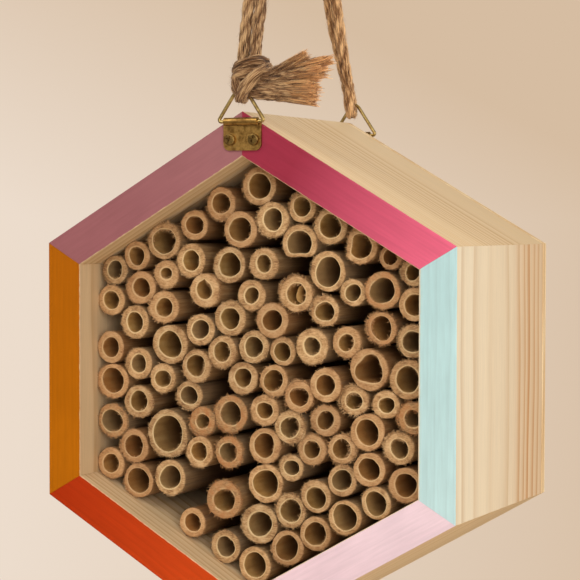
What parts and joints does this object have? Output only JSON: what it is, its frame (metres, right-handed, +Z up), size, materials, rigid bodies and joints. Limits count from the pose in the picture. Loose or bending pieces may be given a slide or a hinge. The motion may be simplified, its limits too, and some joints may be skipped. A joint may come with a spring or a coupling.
{
  "type": "insect hotel",
  "caption": "Hexagonal timber insect hotel: mitred boards with painted front edges, packed with hollow bamboo tubes and hung by a doubled jute rope from hinged wire rings.",
  "frame": {"origin": "the point where a hook bears on the inside of the rope loop, above the middle of the depth", "axes": "+Z up, the open front faces -Y, +X to the right seen from the front"},
  "size_m": [0.178, 0.1148, 0.3535],
  "materials": {
    "pine_mauve_edge": "raw sanded pine, front edge painted mauve",
    "pine_raspberry_edge": "raw sanded pine, front edge painted raspberry",
    "pine_aqua_edge": "raw sanded pine, front edge painted pale aqua",
    "pine_pink_edge": "raw sanded pine, front edge painted pale pink",
    "pine_orange_edge": "raw sanded pine, front edge painted orange-red",
    "pine_ochre_edge": "raw sanded pine, front edge painted ochre",
    "plywood": "raw thin plywood",
    "bamboo": "dry cut bamboo, smooth skin and rough sawn ends",
    "brassed_sheet": "aged brass plating",
    "brass_wire": "aged brass plating",
    "brassed_screw": "aged brass plating",
    "nail_steel": "dull wire nail",
    "jute_rope": "twisted natural jute"
  },
  "bodies": {
    "hotel": {"back_panel": "plywood", "bamboo_row_01_left": "bamboo", "bamboo_row_01_right": "bamboo", "bamboo_row_02_left": "bamboo", "bamboo_row_02_right": "bamboo", "bamboo_row_03_left": "bamboo", "bamboo_row_03_right": "bamboo", "bamboo_row_04_left": "bamboo", "bamboo_row_04_right": "bamboo", "bamboo_row_05_left": "bamboo", "bamboo_row_05_right": "bamboo", "bamboo_row_06_left": "bamboo", "bamboo_row_06_right": "bamboo", "bamboo_row_07_left": "bamboo", "bamboo_row_07_right": "bamboo", "bamboo_row_08_left": "bamboo", "bamboo_row_08_right": "bamboo", "bamboo_row_09_left": "bamboo", "bamboo_row_09_right": "bamboo", "bamboo_row_10_left": "bamboo", "bamboo_row_10_right": "bamboo", "bamboo_row_11_left": "bamboo", "bamboo_row_11_right": "bamboo", "bamboo_row_12_left": "bamboo", "bamboo_row_12_right": "bamboo", "bamboo_row_13_left": "bamboo", "bamboo_row_13_right": "bamboo", "board_left": "pine_ochre_edge", "board_lower_left": "pine_orange_edge", "board_lower_right": "pine_pink_edge", "board_right": "pine_aqua_edge", "board_upper_left": "pine_mauve_edge", "board_upper_right": "pine_raspberry_edge", "front_hanger_plate": "brassed_sheet", "front_plate_screws": "brassed_screw", "mitre_brads": "nail_steel", "panel_pins": "nail_steel", "rear_hanger_plate": "brassed_sheet", "rear_plate_screws": "brassed_screw", "rope_strand_left": "jute_rope", "rope_strand_right": "jute_rope"},
    "front_hanger": {"front_ring": "brass_wire", "rope_knot": "jute_rope", "rope_tail_lower": "jute_rope", "rope_tail_upper": "jute_rope"},
    "rear_hanger": {"rear_ring": "brass_wire", "rope_bight": "jute_rope"}
  },
  "joints": [
    {"name": "front_ring_hinge", "type": "hinge", "parent": "hotel", "child": "front_hanger", "pos_m": [0.0005, -0.05155, -0.147], "axis": [1, 0, 0], "range_deg": [0, 60], "deforming": ["rope_strand_left", "rope_strand_right"]},
    {"name": "rear_ring_hinge", "type": "hinge", "parent": "hotel", "child": "rear_hanger", "pos_m": [0.0012, 0.05155, -0.1484], "axis": [-1, 0, 0], "range_deg": [0, 60], "deforming": ["rope_strand_left", "rope_strand_right"]}
  ]
}
